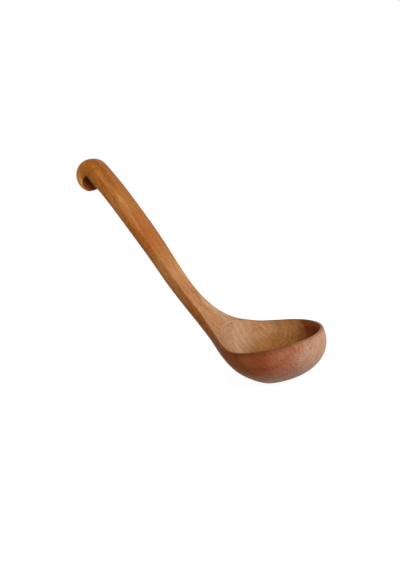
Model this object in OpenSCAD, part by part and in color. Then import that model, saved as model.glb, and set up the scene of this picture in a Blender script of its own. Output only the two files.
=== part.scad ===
// Hook-handled soup ladle carved from one billet.
// Frame: Z up, the bowl's rim plane level, the handle leaning away towards -X,
// the left and right halves alike about the plane Y = 0.
// Z = 0 is the lowest point of the bowl and X = 0 the middle of the overall length.

/* [Bowl] */
// Widest outside width across the rim
bowl_width = 101; // [92:1:110]
// Length of the rim from the deepest point of the bowl to the front tip
bowl_front = 49; // [45:1:54]
// Distance of the widest place behind the deepest point
wide_back = 9; // [5:1:13]
// Outside depth of the bowl below the rim
bowl_depth = 43; // [38:1:48]
// Angle by which the wall tucks in below the rim, degrees
rim_tuck = 14; // [8:1:18]
// Thickness of the wall at the rim
rim_thickness = 2.6; // [2.2:0.2:4]
// Thickness of the wood under the hollow
floor_thickness = 5.2; // [4.4:0.2:8]
// Distance along the top from the deepest point back to the end of the hollow
hollow_back = 48.8; // [46:0.2:51]
// Height of the steep ledge with which the hollow's wall starts at the back
ledge_height = 13; // [8:1:16]

/* [Neck] */
// Distance along the top from the deepest point back to the narrowest place
neck_back = 86; // [82:1:92]
// Narrowest width between the bowl and the handle
neck_width = 27.6; // [25:0.2:31]
// Thickness of the wood at the neck
neck_thickness = 13.8; // [12:0.2:16]

/* [Handle] */
// Length of the front face from the bowl's deepest point to the start of the hook
handle_length = 245.5; // [235:0.5:256]
// Lean of the handle's front face above the rim plane, degrees
handle_lean = 67; // [64:0.5:70]
// Widest width of the handle
handle_width = 31.5; // [29:0.5:34]
// Thickness at the middle of the handle
handle_thickness = 13.6; // [12.2:0.2:15]

/* [Hook] */
// Outside radius of the curl
hook_radius = 15.4; // [15:0.2:16.8]
// Angle through which the curl turns, degrees
hook_turn = 225; // [214:1:229]
// Lean of the handle's front face where the curl starts, degrees
hook_lean = 61.4; // [59:0.2:64]
// Width of the handle where the curl starts
hook_width = 27.2; // [25:0.2:30]
// Thickness of the handle where the curl starts
hook_thickness = 19; // [18:0.2:20]
// Clear gap between the handle's back and the inside of the curl
hook_gap = 6.8; // [6.2:0.2:7.2]
// Width at the tip of the curl
tip_width = 19; // [17:0.2:23]

/* [Hidden] */

wood = [0.72, 0.46, 0.26];
bowl_wood = [0.66, 0.40, 0.27];

// Stations along the front line, measured from above the bowl's deepest point
s_bowl = hollow_back * 1.15;                  // the bowl section ends behind its hollow
s_neck = neck_back * 1.21;                    // the neck section ends on the straight handle
s_curl = handle_length;                       // the curl starts here
s_root = handle_length - 1.35 * hook_radius;  // the hook section takes in the wall facing the curl

// Bowl plan: an ellipse whose centre lies behind the deepest point
plan_a = bowl_front + wide_back;
plan_b = bowl_width / 2;
half0 = plan_b * sqrt(1 - pow(wide_back / plan_a, 2));
square0 = 2.15;
flare0 = 1 / pow(cos(rim_tuck), 2 / square0);
slope0 = pow(plan_b / plan_a, 2) * wide_back / half0 * flare0;

// Station, lean of the front face, half width, thickness, tuck below the face, squareness
stations = [
  [0, 0, half0 * flare0, bowl_depth, rim_tuck, square0],
  [neck_back * 0.21, 7.5, plan_b * 1.025, bowl_depth * 0.81, 10, 2.16],
  [neck_back * 0.372, 27.7, plan_b * 0.88, bowl_depth * 0.512, 5, 2.2],
  [neck_back * 0.535, 42.5, plan_b * 0.604, bowl_depth * 0.382, 3.6, 2.3],
  [neck_back * 0.744, 52, neck_width * 0.686, neck_thickness * 1.04, 4.2, 2.5],
  [neck_back, handle_lean - 8.5, neck_width / 2, neck_thickness * 0.97, 8, 2.6],
  [handle_length * 0.48, handle_lean - 0.6, handle_width * 0.44, handle_thickness * 0.98, 9, 2.7],
  [handle_length * 0.65, handle_lean - 0.5, handle_width * 0.5, handle_thickness * 1.02, 12, 2.8],
  [handle_length * 0.82, handle_lean - 0.8, hook_width * 0.585, hook_thickness * 0.82, 34, 2.95],
  [handle_length, hook_lean, hook_width / 2, hook_thickness, 55, 3.1]
];
LAST = len(stations) - 1;

// Mesh fineness
side_steps = 12;
front_steps = 28;
ledge_steps = 4;
hollow_steps = 14;
crease_steps = 12;
across_steps = 4;
walk = 1;

// Smooth curve through one column of the stations
function pos(i) = stations[i][0];
function rise(i, c) = (stations[i + 1][c] - stations[i][c]) / (pos(i + 1) - pos(i));
function bend(i, c) =
  i == 0 ? (c == 2 ? slope0 : 0) :
  i == LAST ? rise(LAST - 1, c) :
  let(u = pos(i) - pos(i - 1), v = pos(i + 1) - pos(i))
  (rise(i, c) * u + rise(i - 1, c) * v) / (u + v);
function span(s, i = 0) = (i >= LAST - 1 || s < pos(i + 1)) ? i : span(s, i + 1);
function smooth(s, c) =
  let(i = span(s), h = pos(i + 1) - pos(i), t = (s - pos(i)) / h, q = t * t, k = q * t)
  (2 * k - 3 * q + 1) * stations[i][c] + (k - 2 * q + t) * h * bend(i, c)
  + (3 * q - 2 * k) * stations[i + 1][c] + (k - q) * h * bend(i + 1, c);
function lean(s) = smooth(s, 1);

// The front line itself, walked in small steps from the bowl to the curl
walk_count = ceil(handle_length / walk) + 1;
front_line = [for (i = 0, x = 0, z = 0; i <= walk_count;
  x = x - walk * cos(lean((i + 0.5) * walk)),
  z = z + walk * sin(lean((i + 0.5) * walk)), i = i + 1) [x, z]];
function at(s) =
  let(k = floor(s / walk), f = s / walk - k)
  front_line[k] * (1 - f) + front_line[k + 1] * f;
function inward(s) = [-sin(lean(s)), -cos(lean(s))];

// One section: front point, back point, half width, tuck, squareness
function plain(s) =
  let(a = at(s)) [a, a + inward(s) * smooth(s, 3), smooth(s, 2), smooth(s, 4), smooth(s, 5)];
function edge_half(s) = smooth(s, 2) * pow(cos(smooth(s, 4)), 2 / smooth(s, 5));

// Section outline: offsets across (half width) and into the wood (part of the thickness)
function grade(v, e) = (v < 0 ? -1 : 1) * pow(abs(v), e);
function turn(tuck, k) = -tuck + (90 + tuck) * k / side_steps;
function across(tuck, sq, k) = k == side_steps ? 0 : pow(cos(turn(tuck, k)), 2 / sq);
function into(tuck, sq, k) =
  let(e = 2 / sq, g = grade(sin(tuck), e))
  k == 0 ? 0 : (grade(sin(turn(tuck, k)), e) + g) / (1 + g);

// A full ring: near side from the front edge to the back, then up the far side
function spot(r, k, side) =
  let(p = r[0] + (r[1] - r[0]) * into(r[3], r[4], k))
  [p[0], side * r[2] * across(r[3], r[4], k), p[1]];
function ring(r) = concat(
  [for (k = [0 : side_steps]) spot(r, k, -1)],
  [for (k = [side_steps - 1 : -1 : 0]) spot(r, k, 1)]);
RING = 2 * side_steps + 1;

// The curl, in its own axes: first away from the front face, then along the handle
curl_at = at(s_curl);
curl_in = [-sin(hook_lean), -cos(hook_lean)];
curl_up = [-cos(hook_lean), sin(hook_lean)];
function curl_xz(p) = curl_at + curl_in * p[0] + curl_up * p[1];
function outer_curl(u) =
  let(f = hook_turn * u, r = hook_radius * (1 + 0.06 * pow(max(0, (f - 150) / 70), 1.5)))
  [hook_radius - r * cos(f), r * sin(f)];

// Throat wall: a small fillet off the handle's back, a quarter oval, a short straight lip
fillet_r = hook_gap * 0.17;
fillet_end = 80;
oval_h = hook_gap;
throat_drop = hook_gap * 0.28;
fillet_c = [hook_thickness + fillet_r, -throat_drop];
fillet_far = fillet_c + fillet_r * [cos(fillet_end), sin(fillet_end)];
oval_start = acos((fillet_far[0] - hook_thickness) / hook_gap);
oval_z = fillet_far[1] - oval_h * sin(oval_start);
throat = concat(
  [for (a = [180 : -12.5 : fillet_end]) fillet_c + fillet_r * [cos(a), sin(a)]],
  [for (i = [1 : 16]) let(a = oval_start * (1 - i / 16))
    [hook_thickness + hook_gap * cos(a), oval_z + oval_h * sin(a)]],
  [[hook_thickness + hook_gap * 0.986, oval_z - hook_gap * 0.17],
   [hook_thickness + hook_gap * 0.943, oval_z - hook_gap * 0.37]]);
throat_run = [for (i = 0, d = 0; i < len(throat);
  d = d + (i < len(throat) - 1 ? norm(throat[i + 1] - throat[i]) : 0), i = i + 1) d];
throat_len = throat_run[len(throat) - 1];
function throat_span(d, i = 0) =
  (i >= len(throat) - 2 || d <= throat_run[i + 1]) ? i : throat_span(d, i + 1);
function inner_curl(w) =
  let(d = w * throat_len, i = throat_span(d),
      t = (d - throat_run[i]) / (throat_run[i + 1] - throat_run[i]))
  throat[i] * (1 - t) + throat[i + 1] * t;
pace = [[0, 0], [0.25, 0.12], [0.5, 0.30], [0.75, 0.62], [0.9, 0.85], [1, 1]];
function curl_ring(u) = [curl_xz(outer_curl(u)), curl_xz(inner_curl(lookup(u, pace))),
  hook_width / 2 + (tip_width - hook_width) / 2 * pow(u, 1.5), stations[LAST][4],
  stations[LAST][5]];
curl_steps = 34;

// Overall middle in X, from the tip of the rim to the far side of the curl
x_front = bowl_front * flare0;
x_back = min([for (i = [0 : curl_steps]) curl_xz(outer_curl(i / curl_steps))[0]]);
x_mid = (x_front + x_back) / 2;

// Skins a run of sections and closes both ends
module loft(sections) {
  rows = [for (s = sections) ring(s)];
  n = len(rows) - 1;
  pts = [for (r = rows, p = r) p];
  sides = [for (i = [0 : n - 1], k = [0 : RING - 1])
    let(m = (k + 1) % RING) [i * RING + k, i * RING + m, (i + 1) * RING + m, (i + 1) * RING + k]];
  first = [for (k = [RING - 1 : -1 : 0]) k];
  last = [for (k = [0 : RING - 1]) n * RING + k];
  translate([-x_mid, 0, bowl_depth]) polyhedron(pts, concat(sides, [first, last]), convexity = 6);
}
function between(a, b, n) = [for (i = [0 : n]) a + (b - a) * i / n];

// Bowl, front half: sections swing about the deepest point
function reach(f) =
  let(c = cos(f) / plan_a, s = sin(f) / plan_b, w = wide_back / plan_a,
      aa = c * c + s * s, bb = c * w, cc = w * w - 1)
  (sqrt(bb * bb - aa * cc) - bb) / aa;
function swing(j) = -90 + 180 * j / front_steps;
function front_spot(j, k) =
  let(f = swing(j), r = reach(f) * flare0 * across(rim_tuck, square0, k))
  [r * cos(f), r * sin(f), -bowl_depth * into(rim_tuck, square0, k)];

// Bowl, back half: sections square to the front line as far as s_bowl
function crease_s(i) = s_bowl * (1 - pow(1 - i / crease_steps, 1.2));
function back_spot(i, k, side) = spot(plain(crease_s(i)), k, side);

// Edge of the hollow: a constant land inside the rim, squared off at the back
back_steps = crease_steps + across_steps;
function hollow_s(i) = hollow_back * (1 - pow(1 - i / back_steps, 2.2));
function land(s) =
  let(d = (edge_half(s + walk) - edge_half(max(0, s - walk))) / (s + walk - max(0, s - walk)))
  rim_thickness * sqrt(1 + d * d);
function hollow_half(s) =
  (edge_half(s) - land(s)) * sqrt(max(0, 1 - pow(min(1, s / hollow_back), 9)));
function hollow_back_edge(i, side) =
  let(s = hollow_s(i), p = at(s)) [p[0], side * (i == back_steps ? 0 : hollow_half(s)), p[1]];
function hollow_front_edge(j) =
  let(f = swing(j), k = 1 - rim_thickness / reach(f)) [reach(f) * k * cos(f), reach(f) * k * sin(f), 0];
HOLLOW = 2 * back_steps + front_steps;
function hollow_edge(a) =
  a <= back_steps ? hollow_back_edge(back_steps - a, -1) :
  a < back_steps + front_steps ? hollow_front_edge(a - back_steps) :
  hollow_back_edge(a - back_steps - front_steps, 1);

// Wall of the hollow, from its edge down to the floor. Behind, a steep ledge comes first and the
// wall then turns into the floor; at the sides and in front it is one curve.
floor_depth = bowl_depth - floor_thickness;
function behind(e) = min(1, max(0, -e[0] / hollow_back - 0.29) / 0.53);
function wall_curve(r, z, b, k) =
  let(ledge = ledge_height * (0.15 + 0.85 * b), steep = 90 - 8 * b, slant = 90 - 24 * b,
      knee = [r - ledge * cos(steep), z - ledge * sin(steep)],
      c = knee - 0.23 * ledge * [cos(slant), sin(slant)],
      p1 = c - 0.4 * (c[1] + floor_depth) * [cos(slant), sin(slant)],
      p2 = [(0.55 - 0.15 * b) * r, -floor_depth], u = k / ledge_steps,
      t = (k - ledge_steps) / (hollow_steps - ledge_steps))
  k < ledge_steps ? (1 - u) * (1 - u) * [r, z] + 2 * u * (1 - u) * knee + u * u * c :
  pow(1 - t, 3) * c + 3 * t * pow(1 - t, 2) * p1 + 3 * t * t * (1 - t) * p2
    + pow(t, 3) * [0, -floor_depth];
function hollow_spot(a, k) =
  let(e = hollow_edge(a), r = norm([e[0], e[1]]), v = wall_curve(r, e[2], behind(e), k))
  [e[0] / r * v[0], e[1] / r * v[0], v[1]];

module bowl() {
  cols = 2 * crease_steps + front_steps;
  skin = [for (c = [0 : cols], k = [0 : side_steps - 1])
    c < crease_steps ? back_spot(crease_steps - c, k, -1) :
    c <= crease_steps + front_steps ? front_spot(c - crease_steps, k) :
    back_spot(c - crease_steps - front_steps, k, 1)];
  keel = [for (i = [0 : crease_steps])
    i == 0 ? [0, 0, -bowl_depth] : back_spot(i, side_steps, 1)];
  corner = edge_half(s_bowl);
  split = at(s_bowl);
  deck = [for (i = [1 - across_steps : across_steps - 1])
    [split[0], corner * i / across_steps, split[1]]];
  wall = [for (a = [0 : HOLLOW - 1], k = [0 : hollow_steps - 1]) hollow_spot(a, k)];
  // Where each block of points starts in the list
  n_keel = len(skin);
  n_deck = n_keel + len(keel);
  n_wall = n_deck + len(deck);
  n_floor = n_wall + len(wall);
  pts = concat(skin, keel, deck, wall, [[0, 0, -floor_depth]]);
  function below(c) = n_keel + max(0, crease_steps - c, c - crease_steps - front_steps);
  function skin_at(c, k) = k == side_steps ? below(c) : c * side_steps + k;
  function wall_at(a, k) = k == hollow_steps ? n_floor : n_wall + (a % HOLLOW) * hollow_steps + k;
  function top_at(a) =
    let(b = a % HOLLOW)
    b < across_steps ? n_deck + across_steps - 1 - b :
    b <= across_steps + cols ? skin_at(b - across_steps, 0) :
    n_deck + across_steps - 1 + HOLLOW - b;
  outside = [for (c = [0 : cols - 1], k = [0 : side_steps - 1])
    below(c) == below(c + 1) && k == side_steps - 1 ?
    [skin_at(c, k), skin_at(c + 1, k), below(c)] :
    [skin_at(c, k), skin_at(c + 1, k), skin_at(c + 1, k + 1), skin_at(c, k + 1)]];
  inside = [for (a = [0 : HOLLOW - 1], k = [0 : hollow_steps - 1])
    k == hollow_steps - 1 ? [wall_at(a, k), n_floor, wall_at(a + 1, k)] :
    [wall_at(a, k), wall_at(a, k + 1), wall_at(a + 1, k + 1), wall_at(a + 1, k)]];
  rim = [for (a = [0 : HOLLOW - 1]) [top_at(a), wall_at(a, 0), wall_at(a + 1, 0), top_at(a + 1)]];
  end_top = concat([skin_at(0, 1), skin_at(cols, 1), skin_at(cols, 0)],
    [for (i = [2 * across_steps - 2 : -1 : 0]) n_deck + i], [skin_at(0, 0)]);
  end_low = [for (k = [1 : side_steps - 1])
    k == side_steps - 1 ? [skin_at(0, k), below(0), skin_at(cols, k)] :
    [skin_at(0, k), skin_at(0, k + 1), skin_at(cols, k + 1), skin_at(cols, k)]];
  color(bowl_wood) translate([-x_mid, 0, bowl_depth])
    polyhedron(pts, concat(outside, inside, rim, [end_top], end_low), convexity = 8);
}

module neck() {
  color(bowl_wood) loft([for (s = between(s_bowl, s_neck, 12)) plain(s)]);
}

module handle() {
  color(wood) loft([for (s = between(s_neck, s_root, 28)) plain(s)]);
}

module hook() {
  color(wood) loft(concat([for (s = between(s_root, s_curl - 1.4 * throat_drop, 5)) plain(s)],
    [for (i = [0 : curl_steps]) curl_ring(i / curl_steps)]));
}

bowl();
neck();
handle();
hook();
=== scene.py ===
"""Looks of the hook-handled soup ladle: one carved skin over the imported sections, its wood, and
the studio.  Sizes are in millimetres and degrees, as in the part, unless a comment says otherwise."""
import math
from collections import namedtuple
import bmesh
import bpy
import numpy as np
from mathutils import Matrix, Vector

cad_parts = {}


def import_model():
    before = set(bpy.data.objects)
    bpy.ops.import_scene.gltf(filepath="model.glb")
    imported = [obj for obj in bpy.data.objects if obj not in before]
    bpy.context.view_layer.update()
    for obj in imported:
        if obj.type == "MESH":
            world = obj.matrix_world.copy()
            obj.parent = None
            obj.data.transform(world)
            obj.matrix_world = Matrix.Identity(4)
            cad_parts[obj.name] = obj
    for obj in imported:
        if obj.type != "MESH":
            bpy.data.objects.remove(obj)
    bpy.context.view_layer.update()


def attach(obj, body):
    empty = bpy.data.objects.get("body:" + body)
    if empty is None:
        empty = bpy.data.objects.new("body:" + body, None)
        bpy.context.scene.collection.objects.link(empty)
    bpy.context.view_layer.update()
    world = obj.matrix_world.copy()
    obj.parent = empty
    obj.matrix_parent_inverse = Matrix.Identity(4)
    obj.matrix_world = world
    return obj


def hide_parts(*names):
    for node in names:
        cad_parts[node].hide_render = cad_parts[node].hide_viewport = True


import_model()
scene = bpy.context.scene

# Sizes of the bowl, the same values as in the part
BOWL_WIDTH = 101.0       # widest outside width across the rim
BOWL_FRONT = 49.0        # from the deepest point to the front tip of the rim
WIDE_BACK = 9.0          # the widest place lies this far behind the deepest point
BOWL_DEPTH = 43.0
RIM_TUCK = 14.0          # angle by which the wall tucks in below the rim
RIM_THICK = 2.6
FLOOR_THICK = 5.2        # wood under the hollow
HOLLOW_BACK = 48.8       # station at which the hollow ends
LEDGE_HEIGHT = 13.0      # steep start of the hollow's wall at the back

# Sizes of the neck and the handle, the same values as in the part
NECK_BACK = 86.0         # station of the narrowest place
NECK_WIDTH = 27.6
NECK_THICK = 13.8
HANDLE_LENGTH = 245.5    # station at which the curl starts
HANDLE_LEAN = 67.0
HANDLE_WIDTH = 31.5
HANDLE_THICK = 13.6

# Sizes of the curl, the same values as in the part
HOOK_RADIUS = 15.4
HOOK_TURN = 225.0
HOOK_LEAN = 61.4
HOOK_WIDTH = 27.2
HOOK_THICK = 19.0
HOOK_GAP = 6.8           # clear gap between the handle's back and the inside of the curl
TIP_WIDTH = 19.0

# Bowl plan: an ellipse whose centre lies behind the deepest point
PLAN_A = BOWL_FRONT + WIDE_BACK
PLAN_B = BOWL_WIDTH / 2
HALF_START = PLAN_B * math.sqrt(1 - (WIDE_BACK / PLAN_A) ** 2)
SQUARE_START = 2.15
FLARE_START = 1 / math.cos(math.radians(RIM_TUCK)) ** (2 / SQUARE_START)
SLOPE_START = (PLAN_B / PLAN_A) ** 2 * WIDE_BACK / HALF_START * FLARE_START
S_BOWL = HOLLOW_BACK * 1.15     # station at which the bowl's section ends
FLOOR_DEPTH = BOWL_DEPTH - FLOOR_THICK

# Station, lean of the front face, half width, thickness, tuck below the face, squareness
STATIONS = np.array([
    [0, 0, HALF_START * FLARE_START, BOWL_DEPTH, RIM_TUCK, SQUARE_START],
    [NECK_BACK * .21, 7.5, PLAN_B * 1.025, BOWL_DEPTH * .81, 10, 2.16],
    [NECK_BACK * .372, 27.7, PLAN_B * .88, BOWL_DEPTH * .512, 5, 2.2],
    [NECK_BACK * .535, 42.5, PLAN_B * .604, BOWL_DEPTH * .382, 3.6, 2.3],
    [NECK_BACK * .744, 52, NECK_WIDTH * .686, NECK_THICK * 1.04, 4.2, 2.5],
    [NECK_BACK, HANDLE_LEAN - 8.5, NECK_WIDTH / 2, NECK_THICK * .97, 8, 2.6],
    [HANDLE_LENGTH * .48, HANDLE_LEAN - .6, HANDLE_WIDTH * .44, HANDLE_THICK * .98, 9, 2.7],
    [HANDLE_LENGTH * .65, HANDLE_LEAN - .5, HANDLE_WIDTH * .5, HANDLE_THICK * 1.02, 12, 2.8],
    [HANDLE_LENGTH * .82, HANDLE_LEAN - .8, HOOK_WIDTH * .585, HOOK_THICK * .82, 34, 2.95],
    [HANDLE_LENGTH, HOOK_LEAN, HOOK_WIDTH / 2, HOOK_THICK, 55, 3.1]])

# Fineness of the skin, and of the lines that it is measured on
N_SIDE = 30              # steps from a section's back point up its side to the arris
N_ARRIS = 7              # steps round the arris
N_FACE = 8               # steps from the arris to the middle of the face
N_BACK = 34              # sections of the bowl's back half
N_UPPER = 115            # sections from the bowl to the curl
N_CURL = 92              # sections of the curl before its rounded end
N_END = 5                # and in that end
N_FRONT = 96             # steps of the swing round the bowl's front
N_SOFT = 6               # steps round the hollow's soft edge
N_WALL = 40              # steps down the hollow's wall
N_LEDGE = 60             # steps of the ledge's own line, at the top of that wall
N_FILLET = 16            # steps of the throat's fillet
N_OVAL = 40              # and of its quarter oval
WALK = 0.5               # step along the front line
FINE = np.linspace(0, 1, 500)
SWING = -math.pi / 2 + math.pi * np.arange(N_FRONT + 1) / N_FRONT    # round the bowl's front half
PART_CURL_STEPS = 34     # the part's own fineness, which its overall length is measured at

# Radius of the arris between side and face, by station
ARRIS_AT = [0, 40, 70, 95, 125, 160, 200, 246]
ARRIS_RADIUS = [1.0, 1.0, 1.1, 1.2, 1.5, 2.4, 5.0, 7.4]
TIP_ARRIS = 3.2          # and at the curl's end
END_ROUND = 1.3          # rounding of the curl's end
SIDE_CROWD = .12         # how much a side's points crowd towards the arris
SOFT_EDGE = .7           # rounding of the hollow's edge at the sides and in front
SOFT_BACK = .6           # and this much more behind


def run_along(points):
    """Length along a line of points, from its first point to each."""
    return np.r_[0, np.cumsum(np.hypot(*np.diff(points, axis=0).T))]


def point_on(points, run, length):
    """Point or points of a line at a length or lengths along it."""
    return np.stack([np.interp(length, run, points[:, k]) for k in (0, 1)], -1)


def direction(degrees):
    a = math.radians(degrees)
    return np.array([math.cos(a), math.sin(a)])


def bezier(points, t):
    """Points of a Bezier curve of any degree at the values t."""
    n = len(points) - 1
    t = np.asarray(t)[:, None]
    return sum(math.comb(n, k) * t ** k * (1 - t) ** (n - k) * np.asarray(points[k])
               for k in range(n + 1))


def slopes():
    """Slope of each column at each station: the parabola through its neighbours."""
    p, v = STATIONS[:, 0], STATIONS[:, 1:]
    h = np.diff(p)[:, None]
    rise = np.diff(v, axis=0) / h
    m = np.zeros_like(v)
    m[1:-1] = (rise[1:] * h[:-1] + rise[:-1] * h[1:]) / (h[1:] + h[:-1])
    m[0, 1] = SLOPE_START
    m[-1] = rise[-1]
    return m


BEND = slopes()


def smooth(s):
    """Lean, half width, thickness, tuck and squareness at station s."""
    s = np.atleast_1d(np.asarray(s, float))
    p, v = STATIONS[:, 0], STATIONS[:, 1:]
    i = np.clip(np.searchsorted(p, s, side="right") - 1, 0, len(p) - 2)
    h = (p[i + 1] - p[i])[:, None]
    t = (s[:, None] - p[i][:, None]) / h
    q, k = t * t, t * t * t
    return ((2 * k - 3 * q + 1) * v[i] + (k - 2 * q + t) * h * BEND[i]
            + (3 * q - 2 * k) * v[i + 1] + (k - q) * h * BEND[i + 1])


def walk_line():
    """Points (x, z) of the front face's centre line, one at each step."""
    middle = (np.arange(int(HANDLE_LENGTH / WALK) + 2) + .5) * WALK
    lean = np.radians(smooth(np.minimum(middle, HANDLE_LENGTH + 1))[:, 0])
    return np.vstack([[0, 0], np.cumsum(np.c_[-WALK * np.cos(lean), WALK * np.sin(lean)], 0)])


FRONT_LINE = walk_line()


def at(s):
    """Point (x, z) of the front face's centre line."""
    return point_on(FRONT_LINE, np.arange(len(FRONT_LINE)) * WALK, s)


def plain_section(s):
    """Front point, back point, half width, tuck and squareness at station s."""
    lean, half, thick, tuck, square = smooth(s)[0]
    a = np.radians(lean)
    return at(s), at(s) + np.array([-np.sin(a), -np.cos(a)]) * thick, half, tuck, square


def edge_half(s):
    """Half width of the face, out to where the side's line meets it."""
    v = smooth(s)
    return v[:, 1] * np.cos(np.radians(v[:, 3])) ** (2 / v[:, 4])


def grade(v, e):
    return np.sign(v) * np.abs(v) ** e


def half_outline(half, thick, tuck, square, radius):
    """Half of a section as (across, depth): from the back point up the side and round the arris."""
    t = np.radians(90 - (90 + tuck) * FINE)
    e = 2 / square
    g = math.sin(math.radians(tuck)) ** e
    across = half * np.abs(np.cos(t)) ** e
    across[0] = 0
    depth = thick * (grade(np.sin(t), e) + g) / (1 + g)
    depth[-1] = 0
    line = np.c_[across, depth]
    run = run_along(line)
    # points crowd a little towards the arris, so that the flat side stays flat beside it
    k = np.linspace(0, 1, N_SIDE + 1)
    k += SIDE_CROWD * np.sin(math.pi * k) / math.pi
    side = point_on(line, run, (run[-1] - radius) * k)
    corner = np.array([across[-1], 0.0])
    arris = bezier([side[-1], corner, corner - (radius, 0)], np.linspace(0, 1, N_ARRIS + 1)[1:])
    return np.vstack([side, arris])


# The curl, in its own axes: first away from the front face, then along the handle
CURL_AT = at(HANDLE_LENGTH)
CURL_UP = direction(HOOK_LEAN) * (-1, 1)
CURL_IN = -direction(90 - HOOK_LEAN)
CURL_LENGTH = math.radians(HOOK_TURN) * HOOK_RADIUS * .62    # along the middle of its wood


def outer_curl(u):
    """Outside of the curl: an arc that opens a little over its last stretch."""
    turn = HOOK_TURN * u
    r = HOOK_RADIUS * (1 + .06 * max(0, (turn - 150) / 70) ** 1.5)
    return np.array([HOOK_RADIUS, 0]) + direction(turn) * (-r, r)


# Throat wall: a small fillet off the handle's back, a quarter oval, a short straight lip
FILLET_RADIUS = HOOK_GAP * .17
FILLET_END = 80.0
THROAT_DROP = HOOK_GAP * .28
THROAT_LIP = ((.986, .17), (.943, .37))     # across and down, as parts of the gap


def throat_wall():
    fillet = np.array([HOOK_THICK + FILLET_RADIUS, -THROAT_DROP])
    fillet_far = fillet + FILLET_RADIUS * direction(FILLET_END)
    start = math.degrees(math.acos((fillet_far[0] - HOOK_THICK) / HOOK_GAP))
    oval = np.array([HOOK_THICK, fillet_far[1] - HOOK_GAP * math.sin(math.radians(start))])
    points = [fillet + FILLET_RADIUS * direction(a) for a in np.linspace(180, FILLET_END, N_FILLET + 1)]
    points += [oval + HOOK_GAP * direction(a) for a in start * (1 - np.arange(1, N_OVAL + 1) / N_OVAL)]
    points += [oval + HOOK_GAP * np.array([across, -down]) for across, down in THROAT_LIP]
    return np.array(points)


THROAT = throat_wall()
THROAT_RUN = run_along(THROAT)
PACE_OUTER = [0, .25, .5, .75, .9, 1]
PACE_INNER = [0, .12, .30, .62, .85, 1]


def curl_point(p):
    return CURL_AT + CURL_IN * p[0] + CURL_UP * p[1]


def curl_section(u, inset):
    """Front point, back point, half width, tuck and squareness at u of the curl, drawn in by inset."""
    inner = point_on(THROAT, THROAT_RUN, np.interp(u, PACE_OUTER, PACE_INNER) * THROAT_RUN[-1])
    front, back = curl_point(outer_curl(u)), curl_point(inner)
    draw = (back - front) / np.hypot(*(back - front)) * inset
    half = HOOK_WIDTH / 2 + (TIP_WIDTH - HOOK_WIDTH) / 2 * u ** 1.5
    return front + draw, back - draw, half - inset, STATIONS[-1, 4], STATIONS[-1, 5]


# Middle of the overall length, between the rim's tip and the far side of the curl
CURL_BACK = min(curl_point(outer_curl(k / PART_CURL_STEPS))[0] for k in range(PART_CURL_STEPS + 1))
X_MID = (BOWL_FRONT * FLARE_START + CURL_BACK) / 2

# Marks that the wood reads at each point: hollow is 1 inside the hollow, along is the station and
# 0 in the hollow and the bowl's front half, wear is 1 on an arris, face is 1 on the face and
# the rim's top, rim is 1 where that top is narrow, and throat is 1 on the curl's inner wall.
TAGS = ("hollow", "along", "wear", "face", "rim", "throat")
verts, faces, tags = [], [], []
Row = namedtuple("Row", "station front edge near far")
RimPoint = namedtuple("RimPoint", "vertex outer inner back")

# Marks down a half section: the arris, and the face beyond it
N_HALF = N_SIDE + 1 + N_ARRIS
SPOT = np.arange(N_HALF)
ARRIS_MARK = np.clip(1 - np.abs(SPOT - N_SIDE - (N_ARRIS - 1) / 2) / ((N_ARRIS + 3) / 2), 0, 1)
FACE_MARK = np.clip((SPOT - N_SIDE) / N_ARRIS, 0, 1)


def ease(value, start, end):
    """0 up to start, 1 from end on, straight between."""
    return np.clip((value - start) / (end - start), 0, 1)


def add_point(point, **marks):
    """A point in metres in the row's frame, with its marks for the wood."""
    verts.append(tuple(point))
    tags.append([marks.get(name, 0.0) for name in TAGS])
    return len(verts) - 1


def put(x, y, z, **marks):
    """A point in millimetres from the rim's plane above the bowl's deepest point."""
    return add_point(((x - X_MID) * .001, y * .001, (z + BOWL_DEPTH) * .001), **marks)


def quad(*corners):
    """A face, without the corners that it shares with itself."""
    face = list(dict.fromkeys(corners))
    if len(face) > 2:
        faces.append(face)


def join(a, b, over=False):
    """Faces between two lines of points, turned over if that is asked."""
    for k in range(len(a) - 1):
        if over:
            quad(a[k + 1], a[k], b[k], b[k + 1])
        else:
            quad(a[k], a[k + 1], b[k + 1], b[k])


def add_row(station, section, radius, inside):
    """One section of the skin. The back point is shared by the near and the far side."""
    front, back, half, tuck, square = section
    thick = np.hypot(*(back - front))
    inward = (back - front) / thick
    out = half_outline(half, thick, tuck, square, radius)
    # the throat's mark is for the back of the section, where its outline runs across
    step = np.gradient(out, axis=0)
    level = np.abs(step[:, 0]) / np.maximum(np.hypot(step[:, 0], step[:, 1]), 1e-9)
    throat = inside * ease(level, .5, .8) * (out[:, 1] > thick * .5)
    keel = put(back[0], 0, back[1], along=station, throat=inside)
    sides = []
    for side in (-1, 1):
        column = [keel]
        for k in range(1, N_HALF):
            x, z = front + inward * out[k, 1]
            column.append(put(x, side * out[k, 0], z, along=station, wear=ARRIS_MARK[k],
                              face=FACE_MARK[k], throat=throat[k]))
        sides.append(column)
    return Row(station, front, out[-1, 0], *sides)


def add_loft():
    """Sections from the bowl's deepest point to the curl."""
    crease = S_BOWL * (1 - (1 - np.arange(N_BACK + 1) / N_BACK) ** 1.2)
    upper = np.linspace(S_BOWL, HANDLE_LENGTH - 1.4 * THROAT_DROP, N_UPPER + 1)[1:]
    return [add_row(s, plain_section(s), np.interp(s, ARRIS_AT, ARRIS_RADIUS),
                    ease(s, HANDLE_LENGTH - 5, HANDLE_LENGTH - 2)) for s in np.r_[crease, upper]]


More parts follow.
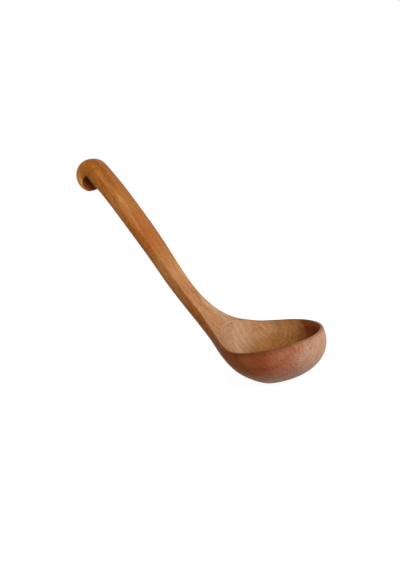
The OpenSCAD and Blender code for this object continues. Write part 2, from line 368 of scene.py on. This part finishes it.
def add_curl():
    """Sections of the curl, drawn in over the last stretch to round its end."""
    u_round = 1 - END_ROUND / CURL_LENGTH
    quarter = np.radians(90 * np.arange(1, N_END + 1) / N_END)
    us = np.r_[np.linspace(0, u_round, N_CURL), u_round + (1 - u_round) * np.sin(quarter)]
    insets = np.r_[np.zeros(N_CURL), END_ROUND * (1 - np.cos(quarter))]
    return [add_row(HANDLE_LENGTH + u * CURL_LENGTH, curl_section(u, inset),
                    ARRIS_RADIUS[-1] + (TIP_ARRIS - ARRIS_RADIUS[-1]) * u ** 2, 1.0)
            for u, inset in zip(us, insets)]


def add_face_line(row):
    """Points across the face of a section, from the near arris to the far one."""
    ys = row.edge * (1 - np.linspace(0, 1, N_FACE + 1)[1:] ** 1.15)
    line = [put(row.front[0], y, row.front[1], along=row.station, face=1) for y in (*-ys, *ys[-2::-1])]
    return [row.near[-1], *line, row.far[-1]]


def close_end(loop):
    """Closes the curl's end with rings that shrink to a middle point."""
    end = HANDLE_LENGTH + CURL_LENGTH
    corners = np.array([verts[i] for i in loop])
    middle = corners.mean(0)
    for share in (.75, .5, .25):
        ring = [add_point(middle + (p - middle) * share, along=end) for p in corners]
        join(loop + loop[:1], ring + ring[:1])
        loop = ring
    tip = add_point(middle, along=end)
    faces.extend([a, b, tip] for a, b in zip(loop, loop[1:] + loop[:1]))


def reach(a):
    """From the deepest point out to the bowl's plan, in direction a."""
    c, s = math.cos(a) / PLAN_A, math.sin(a) / PLAN_B
    w = WIDE_BACK / PLAN_A
    aa, bb, cc = c * c + s * s, c * w, w * w - 1
    return (math.sqrt(bb * bb - aa * cc) - bb) / aa


def add_front_column(a, bottom):
    """One column of the bowl's front half, whose section swings about the deepest point."""
    out = half_outline(reach(a) * FLARE_START, BOWL_DEPTH, RIM_TUCK, SQUARE_START, ARRIS_RADIUS[0])
    return [bottom] + [put(out[k, 0] * math.cos(a), out[k, 0] * math.sin(a), -out[k, 1],
                           wear=ARRIS_MARK[k], face=FACE_MARK[k]) for k in range(1, N_HALF)]


def land(s):
    """Width of the rim's top, measured across, so that it stays as wide where the rim runs aslant."""
    lo, hi = np.maximum(0, s - 1), s + 1
    d = (edge_half(hi) - edge_half(lo)) / (hi - lo)
    return RIM_THICK * np.sqrt(1 + d * d)


def rim_points(rows, split, front_columns):
    """Round the top of the bowl: each point of the skin's edge, its place and the hollow's beside
    it.  Places are station and y behind, and x and y in front."""
    last = N_BACK + N_FACE
    station = HOLLOW_BACK * (1 - (1 - np.arange(last + 1) / last) ** 2.2)
    closing = np.sqrt(np.maximum(0, 1 - np.minimum(1, station / HOLLOW_BACK) ** 9))
    half = (edge_half(station) - land(station)) * closing
    half[-1] = 0

    def behind(i, side):
        if i > N_BACK:
            vertex = split[i - N_BACK if side < 0 else N_BACK - i - 1]
            outer = (S_BOWL, side * abs(verts[vertex][1]) * 1000)
        else:
            vertex = (rows[i].near if side < 0 else rows[i].far)[-1]
            outer = (rows[i].station, side * rows[i].edge)
        return RimPoint(vertex, np.array(outer), np.array([station[i], side * half[i]]), True)

    def before(a, column):
        out = np.array([math.cos(a), math.sin(a)])
        outer, inner = reach(a) - ARRIS_RADIUS[0], reach(a) - RIM_THICK
        return RimPoint(column[-1], outer * out, inner * out, False)

    return ([behind(i, -1) for i in range(last, 0, -1)]
            + [before(a, column) for a, column in zip(SWING, front_columns)]
            + [behind(i, 1) for i in range(1, last)])


def hollow_wall(r, z, back):
    """From the hollow's edge to its lowest point, as (radius, height).  Behind (back = 1) a steep
    ledge comes first and the wall then turns into the floor; at the sides it is one curve."""
    ledge = LEDGE_HEIGHT * (.15 + .85 * back)
    steep, slant = direction(90 - 8 * back), direction(90 - 24 * back)
    knee = (r, z) - ledge * steep
    start = knee - .23 * ledge * slant
    bulge = start - .4 * (start[1] + FLOOR_DEPTH) * slant
    low = bezier([start, bulge, ((.55 - .15 * back) * r, -FLOOR_DEPTH), (0, -FLOOR_DEPTH)], FINE)
    return np.concatenate([bezier([(r, z), knee, start], np.linspace(0, 1, N_LEDGE + 1))[:-1], low])


def add_top_column(point, lowest):
    """The rim's top, its soft inner edge and the hollow's wall, at one point of the rim."""
    def place(f):
        """The place f of the way from the outer edge to the hollow's."""
        a, y = point.outer + (point.inner - point.outer) * f
        x, z = at(a) if point.back else (a, 0.0)
        return np.array([x, y, z])

    def on_wall(length):
        r, z = point_on(wall, run, length)
        return np.array([*r * outward, z])

    edge = place(1)
    gap = np.linalg.norm(edge - place(0))
    back = ease(-edge[0] / HOLLOW_BACK, .29, .82)
    radius = min(SOFT_EDGE + SOFT_BACK * back ** 1.5, gap * .6)
    r = math.hypot(edge[0], edge[1])
    outward = edge[:2] / r
    wall = hollow_wall(r, edge[2], back)
    run = run_along(wall)
    flat = 1 - radius / gap
    narrow = 1 - ease(gap, 2.5, 5.5)
    along = point.outer[0] if point.back else 0
    column = [point.vertex]
    column += [put(*place(flat * f), along=along, face=1, rim=narrow) for f in (.5, .92)]
    soft = np.linspace(0, 1, N_SOFT + 1)
    for u, p in zip(soft, bezier([place(flat), edge, on_wall(radius)], soft)):
        column.append(put(*p, hollow=u, along=along, face=1, wear=1 - abs(2 * u - 1),
                          rim=max((1 - u) * narrow, .4 * (1 - 6 * u) * back)))
    down = (run[-1] - radius) / N_WALL
    column += [put(*on_wall(radius + down * k), hollow=1) for k in range(1, N_WALL)]
    return column + [lowest]


def build_skin():
    """All points and faces of the ladle."""
    rows = add_loft() + add_curl()
    for a, b in zip(rows, rows[1:]):
        join(a.near, b.near)
        join(a.far, b.far, over=True)
    face_lines = [add_face_line(row) for row in rows[N_BACK:]]
    for a, b in zip(face_lines, face_lines[1:]):
        join(a, b)
    close_end(rows[-1].near[::-1] + rows[-1].far[1:] + face_lines[-1][-2:0:-1])
    bottom = rows[0].near[0]
    front = [rows[0].near, *(add_front_column(a, bottom) for a in SWING[1:-1]), rows[0].far]
    for a, b in zip(front, front[1:]):
        join(a, b, over=True)
    lowest = put(0, 0, -FLOOR_DEPTH, hollow=1)
    top = [add_top_column(point, lowest) for point in rim_points(rows, face_lines[0], front)]
    for a, b in zip(top, top[1:] + top[:1]):
        join(a, b)


def skin_mesh():
    """The skin as a mesh with its marks, and with all normals outside."""
    mesh = bpy.data.meshes.new("ladle")
    mesh.from_pydata(verts, [], faces)
    mesh.validate()
    mesh.update()
    for column, name in enumerate(TAGS):
        mark = mesh.attributes.new(name, "FLOAT", "POINT")
        mark.data.foreach_set("value", np.array([t[column] for t in tags], np.float32))
    mesh.polygons.foreach_set("use_smooth", [True] * len(mesh.polygons))
    bm = bmesh.new()
    bm.from_mesh(mesh)
    bmesh.ops.recalc_face_normals(bm, faces=bm.faces)
    open_edges = sum(len(e.link_faces) != 2 for e in bm.edges)
    volume = round(bm.calc_volume() * 1e6, 2)
    print("ladle skin:", len(bm.faces), "faces,", open_edges, "open edges,", volume, "cm3")
    bm.to_mesh(mesh)
    bm.free()
    return mesh


build_skin()
mesh = skin_mesh()
ladle = bpy.data.objects.new("ladle", mesh)
scene.collection.objects.link(ladle)
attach(ladle, "root")
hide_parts("bowl", "neck", "handle", "hook")


class Tree:
    """Short ways to make and join the nodes of a material or a world."""

    def __init__(self, owner):
        owner.use_nodes = True
        self.nt = owner.node_tree
        self.nt.nodes.clear()

    def node(self, kind, **settings):
        n = self.nt.nodes.new(kind)
        for k, v in settings.items():
            setattr(n, k, v)
        return n

    def feed(self, socket, value):
        if isinstance(value, bpy.types.NodeSocket):
            self.nt.links.new(value, socket)
        else:
            socket.default_value = value

    def math(self, op, *args, clamp=False):
        n = self.node("ShaderNodeMath", operation=op, use_clamp=clamp)
        for k, v in enumerate(args):
            self.feed(n.inputs[k], v)
        return n.outputs[0]

    def times(self, *args):
        """The product of two or more values."""
        product = args[0]
        for v in args[1:]:
            product = self.math("MULTIPLY", product, v)
        return product

    def linear(self, value, factor, rest, clamp=False):
        """The value times a factor, plus the rest."""
        return self.math("MULTIPLY_ADD", value, factor, rest, clamp=clamp)

    def larger(self, a, b):
        return self.math("MAXIMUM", a, b)

    def vec(self, op, output, *args):
        n = self.node("ShaderNodeVectorMath", operation=op)
        for k, v in enumerate(args):
            self.feed(n.inputs[k], v)
        return n.outputs[output]

    def combine(self, *args):
        n = self.node("ShaderNodeCombineXYZ")
        for k, v in enumerate(args):
            self.feed(n.inputs[k], v)
        return n.outputs[0]

    def noise(self, vector, detail, rough=.5, scale=1.0):
        n = self.node("ShaderNodeTexNoise")
        self.feed(n.inputs["Vector"], vector)
        for k, v in (("Scale", scale), ("Detail", detail), ("Roughness", rough), ("Distortion", 0.0)):
            n.inputs[k].default_value = v
        return n.outputs["Fac"]

    def range(self, value, a, b, lo=0.0, hi=1.0):
        """Runs softly from lo at a to hi at b."""
        n = self.node("ShaderNodeMapRange", interpolation_type="SMOOTHSTEP")
        for k, v in enumerate((value, a, b, lo, hi)):
            self.feed(n.inputs[k], v)
        return n.outputs[0]

    def band(self, value, a, b, c, d):
        """1 between b and c, fading out to a and d."""
        return self.times(self.range(value, a, b), self.range(value, c, d, 1, 0))

    def mix(self, fac, a, b, blend="MIX"):
        n = self.node("ShaderNodeMix", data_type="RGBA", blend_type=blend)
        self.feed(n.inputs["Factor"], fac)
        for k, v in ((6, a), (7, b)):
            self.feed(n.inputs[k], (*v, 1) if isinstance(v, tuple) else v)
        return n.outputs[2]

    def tint(self, fac, colour, filter_colour):
        """The colour, filtered by another as far as fac says."""
        return self.mix(fac, colour, filter_colour, "MULTIPLY")

    def ramp(self, fac, stops):
        """Grey or colour that runs straight from stop to stop."""
        n = self.node("ShaderNodeValToRGB")
        e = n.color_ramp.elements
        while len(e) < len(stops):
            e.new(.5)
        for k, (p, v) in enumerate(stops):
            e[k].position = p
            e[k].color = (*v, 1) if isinstance(v, tuple) else (v, v, v, 1)
        self.feed(n.inputs[0], fac)
        return n.outputs[0]


# Colours of the oiled wood, linear.  By station: the face of neck and handle, then the flanks
FACE_NECK = (.49, .25, .105)
FLANK_NECK = (.33, .108, .021)
FACE_TONES = ((60, FACE_NECK), (100, (.466, .208, .078)), (118, (.505, .245, .09)),
              (140, (.418, .162, .039)), (168, (.37, .112, .0167)), (196, (.377, .133, .023)),
              (225, (.344, .122, .0197)))
# the pale stop at 268 is painted light on the flanks of the curl
FLANK_TONES = ((70, FLANK_NECK), (92, (.37, .134, .034)), (115, (.455, .188, .052)),
               (130, (.462, .19, .053)), (152, (.392, .12, .022)), (168, (.45, .16, .033)),
               (188, (.487, .197, .046)), (210, (.475, .185, .04)), (250, (.38, .124, .0175)),
               (258, (.43, .152, .0235)), (268, (.64, .305, .078)), (283, (.43, .165, .042)))
RAMP_END = 300           # station at a ramp's end

# Outside of the bowl
OUT_SIDE = (.235, .063, .0145)
OUT_BACK = (.235, .072, .024)
OUT_RED = (.275, .068, .0245)
OUT_ROSE = (.43, .13, .066)
OUT_FRONT = (.505, .278, .175)
OUT_LOW_REFLECTION = (.36, .235, .18)

# Hollow
IN_FLOOR_SHADE = (.38, .125, .03)
IN_WALL = (.41, .185, .058)
IN_NEAR_SHADE = (.40, .15, .042)
IN_PALE_LIT = (.49, .29, .155)
IN_FAR_LIT = (.54, .30, .145)
IN_SIDE_LIT = (.53, .25, .092)
IN_CREST_LIT = (.54, .345, .2)
IN_LEDGE = (.475, .255, .14)
IN_TIP_SHADE = (.235, .052, .0145)
IN_END_SHADE = (.17, .03, .009)
IN_TIP_TOP_SHADE = (.35, .105, .041)

# Edges and throat
EDGE_HIGHLIGHT = (.66, .41, .26)
RIM_DARK = (.09, .014, .002)
RIM_PALE = (.50, .25, .16)
RIM_ARRIS_SHADE = (.16, .05, .025)
THROAT_SHADE = (.085, .006, .004)
THROAT_END = (.40, .08, .018)

# Filters that the grain lays over those colours
GRAIN_PALE = (1.22, 1.34, 1.44)
GRAIN_DARK = (.83, .74, .66)
RED_PATCH = (.97, .86, .76)
DASH = (.66, .52, .42)
SPECK = (.45, .26, .2)
FLECK_PALE = (1.05, 1.09, 1.12)
FLECK_DARK = (.88, .76, .68)
NEAR_SIDE_SHADE = (.92, .85, .76)
SHOULDER_HIGHLIGHT = (1, 1.12, 1.45)
SHOULDER_DARK = (.82, .8, .84)
FLARE_HIGHLIGHT = (1.14, 1.48, 2.0)
SCAR = (.7, .52, .4)

GRAIN_LEAN = 61          # of the fibres in the handle
RING_WIDTHS = (3.1, 8.3)  # thin and wide growth layers
ROUGH = .5
ROUGH_DARK = .95         # in the throat and on the dark rim
GLOSS = .1
GLOSS_TINT = (1, .75, .55, 1)
REFRACTION = 1.47
BUMP_SHARE = .35
BUMP_HEIGHT = .00022     # metres


class Wood(Tree):
    """The ladle's oiled wood.  Fades by x, y and z are in millimetres in the row's frame, and those
    by along are by station."""

    def __init__(self):
        self.mat = bpy.data.materials.new("oiled_wood")
        super().__init__(self.mat)
        place = self.node("ShaderNodeTexCoord").outputs["Object"]
        self.mm = self.vec("MULTIPLY", "Vector", place, (1000, 1000, 1000))
        parts = self.node("ShaderNodeSeparateXYZ")
        self.feed(parts.inputs[0], self.mm)
        self.x, self.y, self.z = parts.outputs
        # the fibres lean more in the bowl than in the handle: u stays the same all along one fibre,
        # and w grows along it
        turn = self.math("SMOOTH_MAX", self.z, 75.0, 50.0)
        u = self.linear(self.z, .727, self.x)
        self.u = self.times(self.linear(turn, -.28, u), .87)
        up = math.radians(GRAIN_LEAN)
        self.w = self.vec("DOT_PRODUCT", "Value", self.mm, (-math.cos(up), 0, math.sin(up)))
        self.hollow, self.along, self.wear, self.face, self.rim, self.throat = (
            self.node("ShaderNodeAttribute", attribute_name=name).outputs["Fac"] for name in TAGS)
        self.outer = self.math("SUBTRACT", 1.0, self.hollow)
        self.bowl = self.range(self.along, 30, 75, 1, 0)

    def grain(self, across, along, shift=0.0):
        """Coordinates for a pattern of this width across the fibres and length along them."""
        return self.combine(self.linear(self.u, 1 / across, shift),
                            self.linear(self.y, 1 / across, shift * .7),
                            self.linear(self.w, 1 / along, shift * .3))

    def streaks(self, across, along, shift, detail, rough, lo, hi):
        """A pattern drawn out along the fibres, 0 where its noise is under lo and 1 over hi."""
        return self.range(self.noise(self.grain(across, along, shift), detail, rough), lo, hi)

    def rings(self):
        """Growth rings: layers nearly square to y, so they run straight up the handle's face and
        close into ovals on the belly and on the far wall of the hollow."""
        warp = self.noise(self.grain(30, 130), 2, .55)
        heart = self.combine(self.math("ADD", self.u, -16.0), self.math("ADD", self.y, -120.0))
        r = self.math("ADD", self.vec("LENGTH", "Value", heart), self.linear(warp, 9, -4.5))
        r = self.linear(self.w, .02, r)
        thin, wide = (self.math("FRACT", self.math("DIVIDE", r, width)) for width in RING_WIDTHS)
        thin = self.ramp(thin, ((0, .1), (.55, .4), (.86, 1), (1, .1)))
        wide = self.ramp(wide, ((0, 0), (.7, .8), (.9, 1), (1, 0)))
        return self.linear(wide, .45, self.times(thin, .55))

    def handle_colour(self):
        """Neck, handle and curl: face and flanks by station, with a blend round the arris."""
        along = self.along
        share = self.math("DIVIDE", along, RAMP_END)
        front, flank = (self.ramp(share, [(station / RAMP_END, colour) for station, colour in tones])
                        for tones in (FACE_TONES, FLANK_TONES))
        # painted shade on the near side of the face, along the neck and handle
        near = self.times(self.range(self.y, -12, 2, 1, 0), self.band(along, 66, 84, 160, 185))
        front = self.tint(near, front, NEAR_SIDE_SHADE)
        late = self.times(self.band(along, 150, 172, 204, 222), .75)
        front_share = self.range(self.face, late, self.linear(late, .13, .9))
        colour = self.mix(self.times(front_share, self.range(along, 250, 264, 1, 0)), flank, front)
        # the broad arris of the upper handle gets a painted highlight below and is darker towards the
        # curl
        shoulder = self.times(self.band(self.face, .15, .5, .85, 1), self.band(along, 165, 190, 248, 262))
        shade = self.mix(self.range(along, 205, 225), SHOULDER_HIGHLIGHT, SHOULDER_DARK)
        return self.tint(shoulder, colour, shade)

    def outside_colour(self):
        """The bowl from outside: brown behind, a red belly, rose and pale in front with a painted sheen,
        and greyer below with a painted reflection of the floor.
        """
        x, z = self.x, self.z
        colour = self.mix(self.range(x, 20, 46), OUT_SIDE, OUT_BACK)
        # paler wood in front, and a painted sheen where the belly faces the light
        colour = self.mix(self.range(x, 64, 98), colour, OUT_FRONT)
        colour = self.mix(self.times(self.band(x, 42, 54, 62, 76), .8), colour, OUT_RED)
        upper_rose = self.times(self.band(x, 70, 80, 88, 100), self.range(z, 30, 38))
        rose = self.times(self.larger(self.band(x, 60, 70, 78, 90), upper_rose), .7)
        colour = self.mix(rose, colour, OUT_ROSE)
        # painted reflection of the white floor on the underside
        colour = self.mix(self.range(z, 7, 27, .8, 0), colour, OUT_LOW_REFLECTION)
        return self.mix(self.range(z, 42, 66), colour, FLANK_NECK)

    def inside_colour(self):
        """The hollow: pale behind with a painted highlight, painted light on the far wall, and painted
        shade low down, on the near side and, darkest, in front.
        """
        x, y, z = self.x, self.y, self.z
        # painted shade: the low part of the hollow is darker than its wall
        colour = self.mix(self.range(z, 10, 24), IN_FLOOR_SHADE, IN_WALL)
        # painted highlight on the back slope, where it faces the light
        colour = self.mix(self.times(self.range(x, 20, 43, 1, 0), self.range(z, 18, 30)), colour, IN_PALE_LIT)
        # painted light on the upper far wall, which the near rim leaves unshaded
        far = self.times(self.range(y, 8, 30), self.range(z, 25, 38))
        colour = self.mix(self.times(far, self.band(x, 20, 34, 46, 60)), colour, IN_FAR_LIT)
        colour = self.mix(self.times(far, self.band(x, 44, 58, 70, 82)), colour, IN_SIDE_LIT)
        # a line crosses the back of the hollow: pinker and in painted shade behind it on the steep ledge,
        # and palest just before it, a painted highlight where the slope faces the light
        side = self.math("MINIMUM", self.math("ADD", y, -8.0), 10.0)
        line = self.linear(y, .3, self.linear(self.times(side, side), -.022, x))
        colour = self.mix(self.range(line, 17, 33, 1, 0), colour, IN_CREST_LIT)
        colour = self.mix(self.range(line, 16.4, 18.2, 1, 0), colour, IN_LEDGE)
        # painted shade on the near side of the hollow, and a thin painted shadow just inside the near rim
        colour = self.mix(self.range(y, -24, -6, .45, 0), colour, IN_NEAR_SHADE)
        colour = self.mix(self.times(self.range(y, -4, 9, .6, 0), self.range(x, 21, 27)), colour, IN_NEAR_SHADE)
        # painted shade in the front of the hollow, darkest at its end and lighter at its top
        low_tip = self.times(self.range(x, 64, 78, 0, .55), self.range(z, 33, 40, 1, 0))
        tip = self.larger(self.range(x, 73.5, 82.5), low_tip)
        colour = self.mix(tip, colour, self.mix(self.range(x, 85, 93), IN_TIP_SHADE, IN_END_SHADE))
        return self.mix(self.times(self.range(x, 76, 82), self.range(z, 35, 40)), colour, IN_TIP_TOP_SHADE)

    def base_colour(self):
        """Mean colour of the wood all over the ladle."""
        colour = self.mix(self.range(self.along, 40, 80), self.outside_colour(), self.handle_colour())
        top = self.times(self.face, self.range(self.along, 30, 90, 1, 0))
        colour = self.mix(top, colour, FACE_NECK)
        return self.mix(self.hollow, colour, self.inside_colour())

    def add_grain(self, colour, fibre, dash):
        """Paler and darker fibres, redder patches, dashes, specks and flecks."""
        streak = self.streaks(3.2, 55, 3.1, 3, .6, .38, .66)
        fine = self.streaks(1.2, 22, 9.4, 2, .5, .36, .64)
        broad = self.streaks(26, 60, 5.2, 2, .5, .36, .64)
        speck = self.streaks(1.3, 7, 12.6, 1, .4, .70, .76)
        fleck = self.streaks(1.1, 2.8, 21.4, 2, .5, .40, .66)
        f = self.times(self.rings(), self.linear(self.bowl, .36, .12))
        f = self.linear(streak, self.linear(self.bowl, -.06, .28), f)
        f = self.linear(fine, .38, f)
        f = self.math("ADD", f, self.linear(self.bowl, -.1, -.48))
        f = self.linear(fibre, .2, f)
        f = self.linear(f, self.linear(self.bowl, -.25, 1.3), .5, clamp=True)
        colour = self.tint(1.0, colour, self.mix(f, GRAIN_PALE, GRAIN_DARK))
        for amount, filter_colour in ((self.times(broad, .7), RED_PATCH), (self.times(dash, .5), DASH),
                                      (self.times(speck, .5), SPECK)):
            colour = self.tint(amount, colour, filter_colour)
        flecked = self.linear(self.bowl, -.6, 1.0)
        return self.tint(flecked, colour, self.mix(fleck, FLECK_PALE, FLECK_DARK))

    def add_neck_marks(self, colour):
        """The far flare of the neck gets a painted highlight, with a few dark dashes above it."""
        flare = self.times(self.range(self.y, 0, 11), self.band(self.along, 46, 58, 80, 94))
        flare = self.times(flare, self.math("SUBTRACT", self.face, self.hollow))
        colour = self.tint(flare, colour, FLARE_HIGHLIGHT)
        scar = self.times(self.streaks(1.2, 5, 17.3, 1, .4, .42, .56),
                          self.band(self.along, 82, 85, 95, 100), self.band(self.y, 2, 3.5, 7.5, 9.5))
        return self.tint(scar, colour, SCAR)

    def dark_lip(self):
        """How far the rim is dark: its narrow top, and its outer arris but for the front."""
        arris = self.times(self.range(self.along, 34, 16), self.wear, self.outer)
        return self.larger(self.rim, self.times(arris, self.range(self.x, 80, 93, 1, 0)))

    def add_edges(self, colour, lip):
        """A painted highlight on the edges behind the hollow, the dark rim, and the dark red throat,
        which is painted shade.
        """
        # painted highlight along the arrises and the hollow's soft edge behind the hollow
        edge_light = self.times(self.wear, self.band(self.along, 30, 46, 60, 75), .42)
        colour = self.mix(edge_light, colour, EDGE_HIGHLIGHT)
        colour = self.mix(self.times(lip, self.range(self.x, 30, 62, .97, .88)), colour, RIM_DARK)
        # at the front the rim's top is pale between its outer arris, darkened by painted shade, and the
        # dark hollow
        front = self.times(self.range(self.x, 83, 92), self.outer, self.range(self.along, 2, 0))
        colour = self.mix(self.times(front, self.face, self.rim), colour, RIM_PALE)
        colour = self.mix(self.times(front, self.wear, .6), colour, RIM_ARRIS_SHADE)
        # painted shade in the throat: near black deep in the curl, redder towards its end
        deep = self.mix(self.range(self.along, 262, 282), THROAT_SHADE, THROAT_END)
        return self.mix(self.times(self.throat, .92), colour, deep)

    def build(self):
        """Joins colour, roughness and bump in one shader."""
        fibre = self.noise(self.grain(1.5, 16, 7.7), 4, .62)
        dash = self.streaks(.8, 7, 1.3, 2, .5, .56, .70)
        mottle = self.range(self.noise(self.mm, 3, .5, 1 / 11), .35, .65)
        lip = self.dark_lip()
        colour = self.add_neck_marks(self.add_grain(self.base_colour(), fibre, dash))
        rough = self.linear(mottle, .05, self.linear(fibre, .14, ROUGH - .07))
        rough = self.larger(rough, self.times(self.larger(self.throat, lip), ROUGH_DARK))
        height = self.linear(mottle, .5, self.linear(fibre, .8, self.times(dash, -.5)))
        bump = self.node("ShaderNodeBump")
        bump.inputs["Strength"].default_value = BUMP_SHARE
        bump.inputs["Distance"].default_value = BUMP_HEIGHT
        self.feed(bump.inputs["Height"], height)
        shader = self.node("ShaderNodeBsdfPrincipled")
        for name, value in (("Base Color", self.add_edges(colour, lip)), ("Roughness", rough),
                            ("Normal", bump.outputs[0]), ("IOR", REFRACTION),
                            ("Specular IOR Level", GLOSS), ("Specular Tint", GLOSS_TINT)):
            self.feed(shader.inputs[name], value)
        self.feed(self.node("ShaderNodeOutputMaterial").inputs[0], shader.outputs[0])
        return self.mat


mesh.materials.append(Wood().build())

# Camera: turn, height and roll in radians, distance in millimetres, focal length in pixels
CAMERA_TURN = .401
CAMERA_HEIGHT = .1791
CAMERA_ROLL = .2141
CAMERA_DISTANCE = 621.3
FOCAL_PIXELS = 641.6
IMAGE_HEIGHT = 570
SENSOR = 36              # millimetres
LOOK_AT = (-60, 0, 60)   # from the rim's plane above the bowl's deepest point
LOOK_SHIFT = (-.187, -3.126)    # and then to the right and up in the picture
NEAR_CLIP = .01          # metres


def add_camera():
    back = Vector((math.sin(CAMERA_TURN) * math.cos(CAMERA_HEIGHT),
                   -math.cos(CAMERA_TURN) * math.cos(CAMERA_HEIGHT), math.sin(CAMERA_HEIGHT)))
    level = Vector((math.cos(CAMERA_TURN), math.sin(CAMERA_TURN), 0))
    upright = back.cross(level)
    right = math.cos(CAMERA_ROLL) * level - math.sin(CAMERA_ROLL) * upright
    up = math.sin(CAMERA_ROLL) * level + math.cos(CAMERA_ROLL) * upright
    target = Vector(LOOK_AT) + Vector((-X_MID, 0, BOWL_DEPTH))
    target += right * LOOK_SHIFT[0] + up * LOOK_SHIFT[1]
    pose = Matrix((right, up, back)).transposed().to_4x4()
    pose.translation = (target + back * CAMERA_DISTANCE) * .001
    data = bpy.data.cameras.new("camera")
    data.sensor_fit = "AUTO"
    data.sensor_width = SENSOR
    data.lens = FOCAL_PIXELS / IMAGE_HEIGHT * SENSOR
    data.clip_start = NEAR_CLIP
    camera = bpy.data.objects.new("camera", data)
    camera.matrix_world = pose
    scene.collection.objects.link(camera)
    scene.camera = camera


def seen(t):
    """1 for the rays that see a surface or the world itself, and 0 for those that gather light."""
    rays = t.node("ShaderNodeLightPath").outputs
    return t.larger(t.larger(rays["Is Camera Ray"], rays["Is Glossy Ray"]), rays["Is Transmission Ray"])


# Studio: the floor and the world look white, and light the ladle far less than they show
FLOOR_HALF = 30          # metres
FLOOR_GAP = .0002        # metres between the ladle's lowest point and the floor
FLOOR_GREY = .36
FLOOR_GLOW = .24         # for the rays that gather light
FLOOR_SHOWN = .66        # and this much more for those that see the floor
WORLD_LIGHT = .02


def floor_material():
    material = bpy.data.materials.new("pale_floor")
    t = Tree(material)
    diffuse = t.node("ShaderNodeBsdfDiffuse")
    diffuse.inputs["Color"].default_value = (FLOOR_GREY, FLOOR_GREY, FLOOR_GREY, 1)
    glow = t.node("ShaderNodeEmission")
    t.feed(glow.inputs["Strength"], t.linear(seen(t), FLOOR_SHOWN, FLOOR_GLOW))
    add = t.node("ShaderNodeAddShader")
    t.feed(add.inputs[0], diffuse.outputs[0])
    t.feed(add.inputs[1], glow.outputs[0])
    t.feed(t.node("ShaderNodeOutputMaterial").inputs[0], add.outputs[0])
    return material


def add_floor():
    data = bpy.data.meshes.new("floor")
    corners = [(x * FLOOR_HALF, y * FLOOR_HALF, 0) for x, y in ((-1, -1), (1, -1), (1, 1), (-1, 1))]
    data.from_pydata(corners, [], [(0, 1, 2, 3)])
    data.materials.append(floor_material())
    plane = bpy.data.objects.new("floor", data)
    plane.location.z = -FLOOR_GAP
    scene.collection.objects.link(plane)
    return plane


def add_world():
    world = bpy.data.worlds.new("studio")
    scene.world = world
    t = Tree(world)
    sky = t.node("ShaderNodeBackground")
    sky.inputs["Color"].default_value = (1, 1, 1, 1)
    t.feed(sky.inputs["Strength"], t.larger(seen(t), WORLD_LIGHT))
    t.feed(t.node("ShaderNodeOutputWorld").inputs[0], sky.outputs[0])


def lamp(name, azimuth, height, spread, level):
    """A broad soft light; level is how bright white paper facing it looks by its light alone."""
    a, h = math.radians(azimuth), math.radians(height)
    towards = Vector((math.cos(h) * math.cos(a), math.cos(h) * math.sin(a), math.sin(h)))
    data = bpy.data.lights.new(name, "SUN")
    data.angle = math.radians(spread)
    data.energy = level * math.pi
    light = bpy.data.objects.new(name, data)
    light.rotation_euler = towards.to_track_quat("Z", "Y").to_euler()
    scene.collection.objects.link(light)


add_camera()
floor = add_floor()
add_world()
lamp("key", -36, 32, 50, .58)
lamp("low", 20, 9, 30, .40)
lamp("front", -88, 30, 50, .18)
lamp("far", 90, 30, 50, .04)
lamp("top", 60, 65, 50, .05)
lamp("back", 168, 32, 60, .14)
scene.view_settings.view_transform = "Standard"
